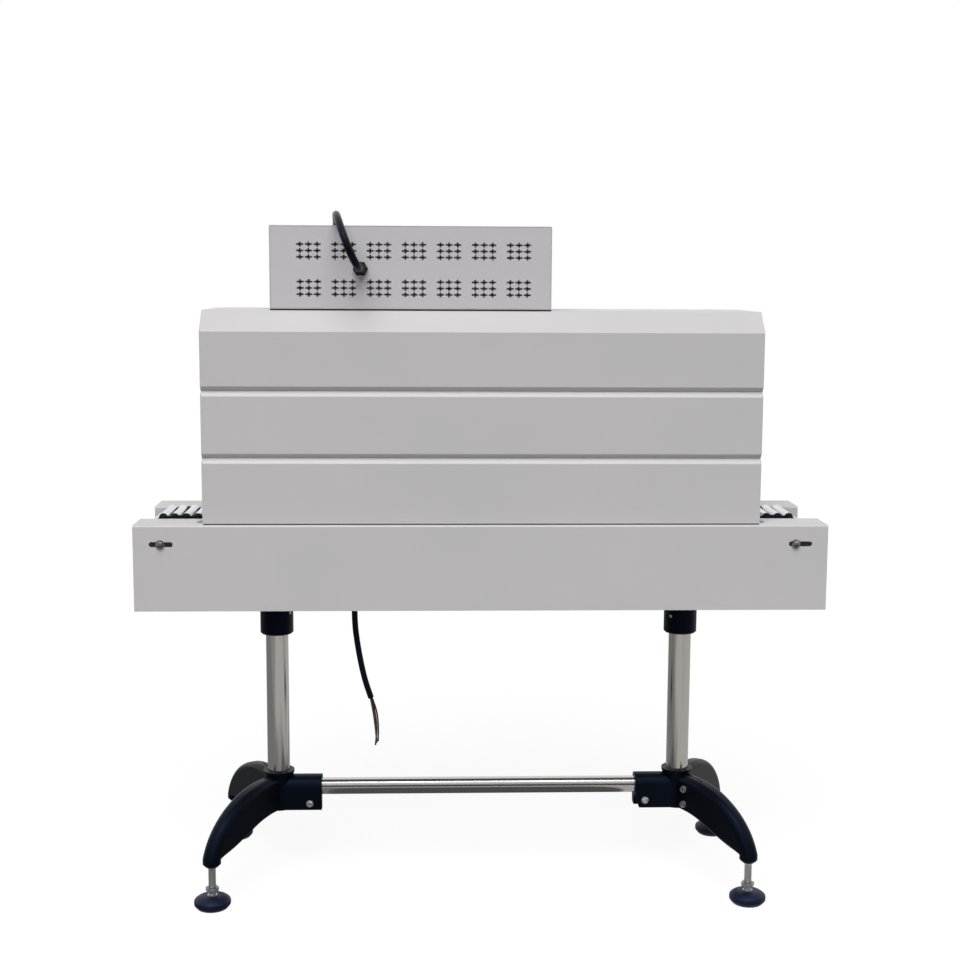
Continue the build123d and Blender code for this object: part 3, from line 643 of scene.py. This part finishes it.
vent = merged_copy("vent_panel", "punched_vent_panel")
moved = []
for way in (1, -1):
    moved.append(pick(vent, "EDGE", lambda edge: ends_a_slot(edge, way)))
    bpy.ops.transform.translate(value=(0, 0, -way * shortened))
    bpy.ops.object.mode_set(mode="OBJECT")
settle(vent, "punched_vent_panel", box_coat_painted_lighter)
even_out_normals(vent)
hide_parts("vent_panel")
print("slot ends moved", moved)

# %% [markdown]
# The box stands three millimetres above the hood. A black strip under its edges fills that gap as
# painted shade: it stands in for the shadow in the gap, the dark line along the foot of the box. It
# is a flat frame, so we inset a plane, take its middle away and pull up the rest.

# %% Black strip of painted shade under the box
box_low, box_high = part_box("control_box_body")
roof_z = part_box("hood_top_cover")[1].z
strip_inset, strip_width, strip_gap = 0.4 * MM, 9 * MM, 0.05 * MM
strip_middle = ((box_low.x + box_high.x) / 2, (box_low.y + box_high.y) / 2, roof_z + strip_gap)
strip_height = box_low.z - roof_z - 2 * strip_gap

bpy.ops.mesh.primitive_plane_add(size=1, location=strip_middle)
strip = bpy.context.object
strip.scale = (box_high.x - box_low.x - 2 * strip_inset, box_high.y - box_low.y - 2 * strip_inset, 1)
bpy.ops.object.transform_apply(location=True, rotation=False, scale=True)
bpy.ops.object.mode_set(mode="EDIT")
bpy.ops.mesh.select_all(action="SELECT")
bpy.ops.mesh.inset(thickness=strip_width, depth=0)
bpy.ops.mesh.delete(type="FACE")
bpy.ops.mesh.select_all(action="SELECT")
bpy.ops.mesh.extrude_region_move(TRANSFORM_OT_translate={"value": (0, 0, strip_height)})
bpy.ops.mesh.select_all(action="SELECT")
bpy.ops.mesh.normals_make_consistent(inside=False)
bpy.ops.object.mode_set(mode="OBJECT")
# painted shade: the strip is black only to stand for the shadow in the gap under the box
settle(strip, "box_gap_painted_shade_strip", slide_plastic)
print("foam strip", [round(d, 4) for d in strip.dimensions])

# %% [markdown]
# A black bead along the foot of each long side of the hood, where it stands on the rail, is painted
# shade: it stands in for the thin line of shadow there. It is a thin bar with softened edges, as
# long as the panel.

# %% Black beads of painted shade at the foot of the hood
bead_wide, bead_high, bead_round = 1.6 * MM, 2.2 * MM, 0.5 * MM
beads = []
for side, panel in ((-1, "near_lower_panel"), (1, "far_lower_panel")):
    low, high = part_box(panel)
    face_y = low.y if side < 0 else high.y
    bead_middle = ((low.x + high.x) / 2, face_y + side * bead_wide / 2, rail_top + bead_high / 2)
    bpy.ops.mesh.primitive_cube_add(size=1, location=bead_middle)
    bead = bpy.context.object
    bead.scale = (high.x - low.x, bead_wide, bead_high)
    bpy.ops.object.transform_apply(location=True, rotation=False, scale=True)
    bpy.ops.object.mode_set(mode="EDIT")
    bpy.ops.mesh.select_all(action="SELECT")
    bpy.ops.mesh.bevel(offset=bead_round, segments=2)
    bpy.ops.object.mode_set(mode="OBJECT")
    beads.append(bead)
    print("bead", side, [round(v, 4) for v in bead_middle], "panel foot", round(low.z, 4))
only(*beads)
bpy.ops.object.join()
# painted shade: black beads standing for the shadow line where the hood meets the rails
settle(beads[0], "hood_foot_painted_shade_beads", slide_plastic)

# %% [markdown]
# Screws hold this machine together. Their heads, washers and collars are all turned shapes, so
# each starts as a short cylinder on the Z axis at the origin, and its top is inset and stepped.

# %% Round blanks
def start_round(radius, height, sides, base=0):
    """A cylinder on Z, in millimetres, ready to be shaped."""
    bpy.ops.mesh.primitive_cylinder_add(
        vertices=sides, radius=radius * MM, depth=height * MM, location=(0, 0, (base + height / 2) * MM)
    )
    bpy.ops.object.transform_apply(location=True, rotation=False, scale=False)
    return bpy.context.object


def step_top(piece, inset, rise):
    """Insets the top face of a Z-axis shape and lifts or sinks what is inside, in millimetres."""
    top = max(v.co.z for v in piece.data.vertices)
    level = 0.001 * MM
    pick(piece, "FACE", lambda f: f.normal.z > 0.9 and abs(f.calc_center_median().z - top) < level)
    bpy.ops.mesh.inset(thickness=inset * MM, depth=0)
    bpy.ops.transform.translate(value=(0, 0, rise * MM))
    bpy.ops.object.mode_set(mode="OBJECT")


# %% [markdown]
# A hexagon head is a cylinder with six sides. On a real one the corners are turned off, which the
# stepped top shows, and the middle is a little hollow.

# %% Bolt heads and washers
def hexagon_head(flats, height):
    """A bolt head: its corners are chamfered by a raised crown, and the crown is slightly dished."""
    prism, crown, dish = height * 0.85, height * 0.15, height * 0.08
    chamfer, rim = flats * 0.08, flats * 0.14
    head = start_round(flats / 2 / cos(pi / 6), prism, 6)
    step_top(head, chamfer, crown)
    pick(head, "FACE", lambda f: f.normal.z > 0.9 and f.calc_center_median().z > height * 0.9 * MM)
    bpy.ops.mesh.inset(thickness=rim * MM, depth=-dish * MM)
    bpy.ops.object.mode_set(mode="OBJECT")
    return head


def washer(radius, thickness):
    """A washer with a rounded upper rim."""
    ring = start_round(radius, thickness, 28)
    step_top(ring, thickness * 0.4, 0)
    pick(ring, "EDGE", lambda e: turns_by(e, 60, 100) and e.verts[0].co.z > thickness * 0.5 * MM)
    bpy.ops.mesh.bevel(offset=thickness * 0.35 * MM, segments=2, affect="EDGES")
    bpy.ops.object.mode_set(mode="OBJECT")
    return ring


# %% [markdown]
# A head is modelled once, and copies of it are turned and set down wherever the real machine has
# them. Each copy keeps its own mesh, and the copies of one kind are joined as one piece.

# %% Set copies down
def placed(place, direction=(0, 0, 1), turned=0):
    """The transform that stands a Z-axis shape at a place in millimetres, along a direction."""
    stand = Vector((0, 0, 1)).rotation_difference(Vector(direction)).to_matrix().to_4x4()
    return Matrix.Translation(Vector(place) * MM) @ stand @ Matrix.Rotation(radians(turned), 4, "Z")


def joined(*shapes):
    """All the shapes as one object."""
    only(*shapes)
    bpy.ops.object.join()
    return shapes[0]


def set_down(template, places, name, finish):
    """Copies of one shape, each with its own mesh, at every place, joined as one piece."""
    copies = []
    for place in places:
        copy = bpy.data.objects.new(name, template.data.copy())
        bpy.context.collection.objects.link(copy)
        copy.data.transform(place)
        copies.append(copy)
    bpy.data.objects.remove(template)
    piece = joined(*copies)
    settle(piece, name, finish)
    print(name, "copies", len(places), "faces", len(piece.data.polygons))
    return piece


# %% [markdown]
# The shafts slide in slots so that the chain can be tightened. Each end is held by a hexagon bolt
# with a washer, which clamps on the outside of the rail. They get a finish of their own: the same
# plate, much darker, with coarse patches of darker and lighter tone.

# %% Take-up bolts
dark_patchy_zinc, tree, shader, place = start_finish("dark_patchy_zinc_plated_steel", "#86888A", 1.0, 0.24)
stain = add_node(tree, "ShaderNodeTexNoise", {"Vector": place, "Scale": 1 / (4.0 * MM), "Detail": 3.0})
vary(tree, shader, stain.outputs["Fac"], tones=("#3E4042", "#B8BABC"))

bolt = joined(washer(10, 1.8), hexagon_head(14, 7))
shaft_z = middle("take_up_bolts", Z)
shaft_xs = [middle(shaft, X) for shaft in ("idler_shaft", "drive_shaft")]
rail_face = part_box("far_side_rail")[1].y / MM
first_turn, turned_further = 12, 20
places = []
for i, x in enumerate(shaft_xs):
    for side in (-1, 1):
        turned = first_turn + turned_further * i
        places.append(placed((x, side * rail_face, shaft_z), (0, side, 0), turned))
take_up = set_down(bolt, places, "take_up_bolt_heads", dark_patchy_zinc)
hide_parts("take_up_bolts")

# %% [markdown]
# The chain is the skilled part of this machine: every roller turns on a pin that is riveted into
# both strands. The frame has the plates and the barrels. Here each pin gets its rivet head, and
# each barrel the black end cap that holds its bearing, which is what shows as a row of dark humps
# from the front. They repeat over a hundred times, so each has only a few faces.

# %% Chain pins and roller caps
pitch, teeth, straight = 25.4, 10, 54
loop_centre = sum(shaft_xs) / 2
half_span = straight * pitch / 2
sprocket_radius = pitch / (2 * sin(pi / teeth))
drop = sprocket_radius * cos(pi / teeth)
pins = []
for i in range(straight):
    along_run = loop_centre - half_span + (i + 0.5) * pitch
    pins += [(along_run, shaft_z + drop), (along_run, shaft_z - drop)]
for i in range(teeth // 2):
    angle = (i + 0.5) * 2 * pi / teeth
    for side in (-1, 1):
        outwards = side * (half_span + sprocket_radius * sin(angle))
        pins.append((loop_centre + outwards, shaft_z + side * sprocket_radius * cos(angle)))


def both_ends(face):
    """Where every pin comes out, on both sides of the machine, at a distance from its middle."""
    return [placed((x, side * face, z), (0, side, 0)) for x, z in pins for side in (-1, 1)]


rivet = start_round(2.6, 1.2, 10)
step_top(rivet, 0.7, 0.4)
strand_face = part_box("far_chain")[1].y / MM
set_down(rivet, both_ends(strand_face), "chain_pin_heads", chain_steel)

cap = start_round(9.9, 0.2, 20, base=0.03)
step_top(cap, 3.0, -0.05)
barrel_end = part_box("conveyor_rollers")[1].y / MM
set_down(cap, both_ends(barrel_end), "roller_end_caps", slide_plastic)

# %% [markdown]
# Small zinc-plated parts finish the pedestals: hexagon bolts through both clamps of each bipod, a
# collar where each spindle enters its leg, and the insert that holds each foot pad.

# %% Clamp bolts
left_post_x, right_post_x = (middle(post, X) for post in ("left_post", "right_post"))
leg_reach_x, leg_reach_y, foot_x = 127, 215, 590
leg_turn = atan2(leg_reach_y, leg_reach_x)
flank = (-sin(leg_turn), -cos(leg_turn), 0)
socket_face, along_leg, leg_half_width = 28.5, 50, 20
post_clamp_heights = (204, 168)
places = []
# each cross tube socket's clamp is bolted through, and shows a head on both sides
for side, inward, height in ((-1, 73, 167), (1, 77.5, 170)):
    clamp_x = side * (right_post_x - inward)
    places += [placed((clamp_x, face * socket_face, height), (0, face, 0), 10) for face in (-1, 1)]
# the post's clamp lies in one leg of each moulding
x = right_post_x + along_leg * cos(leg_turn) + leg_half_width * flank[0]
y = -along_leg * sin(leg_turn) + leg_half_width * flank[1]
for z in post_clamp_heights:
    places += [placed((x, y, z), flank, 15), placed((-x, -y, z), (-flank[0], -flank[1], 0), 15)]
clamp_bolt = joined(washer(8.5, 1.4), hexagon_head(13, 6.5))
set_down(clamp_bolt, places, "clamp_bolt_heads", zinc_plate)

# %% [markdown]
# The spindles stand under the tips of the four legs. A collar is a short round with a narrower
# lower end, and an insert is a washer with a hexagon on it.

# %% Spindle collars and pad inserts
feet = [(x, y) for x in (-foot_x, foot_x) for y in (-leg_reach_y, leg_reach_y)]
leg_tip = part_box("left_bipod")[0].z / MM
pad_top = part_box("near_left_foot_pad")[1].z / MM
collar_height = 5.5
collar = start_round(10.5, collar_height, 28)
pick(collar, "FACE", lambda f: f.normal.z < -0.9)
bpy.ops.transform.resize(value=(0.8, 0.8, 1), center_override=(0, 0, 0))
bpy.ops.object.mode_set(mode="OBJECT")
step_top(collar, 1.0, 0)
places = [placed((x, y, leg_tip - collar_height)) for x, y in feet]
set_down(collar, places, "spindle_collars", zinc_plate)

insert = joined(washer(11, 1.2), hexagon_head(15, 4.5))
places = [placed((x, y, pad_top), (0, 0, 1), 20) for x, y in feet]
set_down(insert, places, "pad_inserts", zinc_plate)

# %% [markdown]
# Two set screws hold each post in its top socket. They are short rounds with a recess, sunk in the
# socket's side, and one of each pair just shows below the near rail.

# %% Socket set screws
screw = start_round(4, 2.4, 16)
step_top(screw, 1.4, 0)
step_top(screw, 0.3, -1.4)
socket_radius = 37.5
places = []
for x, first_turn, height in ((left_post_x, -33, 615), (right_post_x, -133, 605.6)):
    for angle in (first_turn, first_turn + 180):
        out = (cos(radians(angle)), sin(radians(angle)), 0)
        places.append(placed((x + socket_radius * out[0], socket_radius * out[1], height), out))
set_down(screw, places, "socket_set_screws", zinc_plate)

# %% [markdown]
# Pan-head screws hold the hood: two through each hold-down angle, and a row down each end plate
# into the panels' flanges. Their heads are low domes with a cross recess, which at this size is a
# plain dimple.

# %% Hood screws
head = start_round(4.5, 1.0, 20)
step_top(head, 1.2, 0.9)
step_top(head, 1.2, 0.4)
step_top(head, 0.5, -0.5)
plate_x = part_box("right_end_plate")[1].x / MM
rail_z = rail_top / MM
hold_down_y, angle_thickness, from_corner = 135.75, 2, 9.5
row_y, row_heights = 160, (60, 118, 170, 262, 314, 396)
places = []
for side in (-1, 1):
    for y in (-hold_down_y, hold_down_y):
        places.append(placed((side * (plate_x + from_corner), y, rail_z + angle_thickness), (0, 0, 1)))
        places.append(placed((side * (plate_x + angle_thickness), y, rail_z + from_corner), (side, 0, 0)))
    for y in (-row_y, row_y):
        places += [placed((side * plate_x, y, rail_z + height), (side, 0, 0)) for height in row_heights]
set_down(head, places, "hood_screws", zinc_plate)

# %% [markdown]
# The far side is the operator's. Each meter is a black bezel round a dark window, each knob has a
# pale pointer, and each rocker switch sits in a raised rim. They carry no words. The frame has
# them as plain blocks, so a copy's far face is inset and pushed in.

# %% Meters and switches
glass, tree, shader, place = start_finish("smoked_acrylic_meter_window", "#0A0F12", 0.0, 0.08)
haze = add_node(tree, "ShaderNodeTexNoise", {"Vector": place, "Scale": 60.0, "Detail": 2.0})
vary(tree, shader, haze.outputs["Fac"], gloss=(0.04, 0.16))


def recessed_copy(node, name, inset, depth, inner_finish):
    """A copy of a control whose far face is inset and pushed in, with its own finish inside."""
    piece = merged_copy(node, name)
    far = max(v.co.y for v in piece.data.vertices)
    level = 0.001 * MM
    pick(piece, "FACE", lambda f: f.normal.y > 0.9 and abs(f.calc_center_median().y - far) < level)
    bpy.ops.mesh.inset(thickness=inset * MM, depth=0)
    bpy.ops.mesh.extrude_region_move(TRANSFORM_OT_translate={"value": (0, -depth * MM, 0)})
    bpy.ops.object.mode_set(mode="OBJECT")
    inner = [f.index for f in piece.data.polygons if f.select]
    settle(piece, name, slide_plastic)
    piece.data.materials.append(inner_finish)
    for index in inner:
        piece.data.polygons[index].material_index = 1
    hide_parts(node)
    print(name, "recessed faces", len(inner))


recessed_copy("control_meters", "meter_bezels", 5, 2, glass)
recessed_copy("control_switches", "rocker_switches", 2.5, 1.2, slide_plastic)

# %% [markdown]
# A pointer is a groove across the knob's face, filled with white paint. It stands a hair proud
# here: a short round, stretched to a bar, with its rim stepped down.

# %% Knob pointers
pointer_paint, tree, shader, place = start_finish("white_filled_pointer_groove", "#E2E2DE", 0.0, 0.5)
speck = add_node(tree, "ShaderNodeTexNoise", {"Vector": place, "Scale": 1 / (0.8 * MM), "Detail": 1.0})
vary(tree, shader, speck.outputs["Fac"], gloss=(0.4, 0.62))

knob_radius, pointer_rise, pointer_stretch = 17, 7, 5.5
knob_low, knob_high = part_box("control_knobs")
knob_face = knob_high.y / MM
knob_z = middle("control_knobs", Z)
pointer = start_round(1.1, 0.5, 12)
pick(pointer, "FACE", lambda f: True)
bpy.ops.transform.resize(value=(1, pointer_stretch, 1), center_override=(0, 0, 0))
bpy.ops.object.mode_set(mode="OBJECT")
step_top(pointer, 0.3, -0.1)
places = []
for knob_x in (knob_low.x / MM + knob_radius, knob_high.x / MM - knob_radius):
    places.append(placed((knob_x, knob_face, knob_z + pointer_rise), (0, 1, 0)))
set_down(pointer, places, "knob_pointers", pointer_paint)
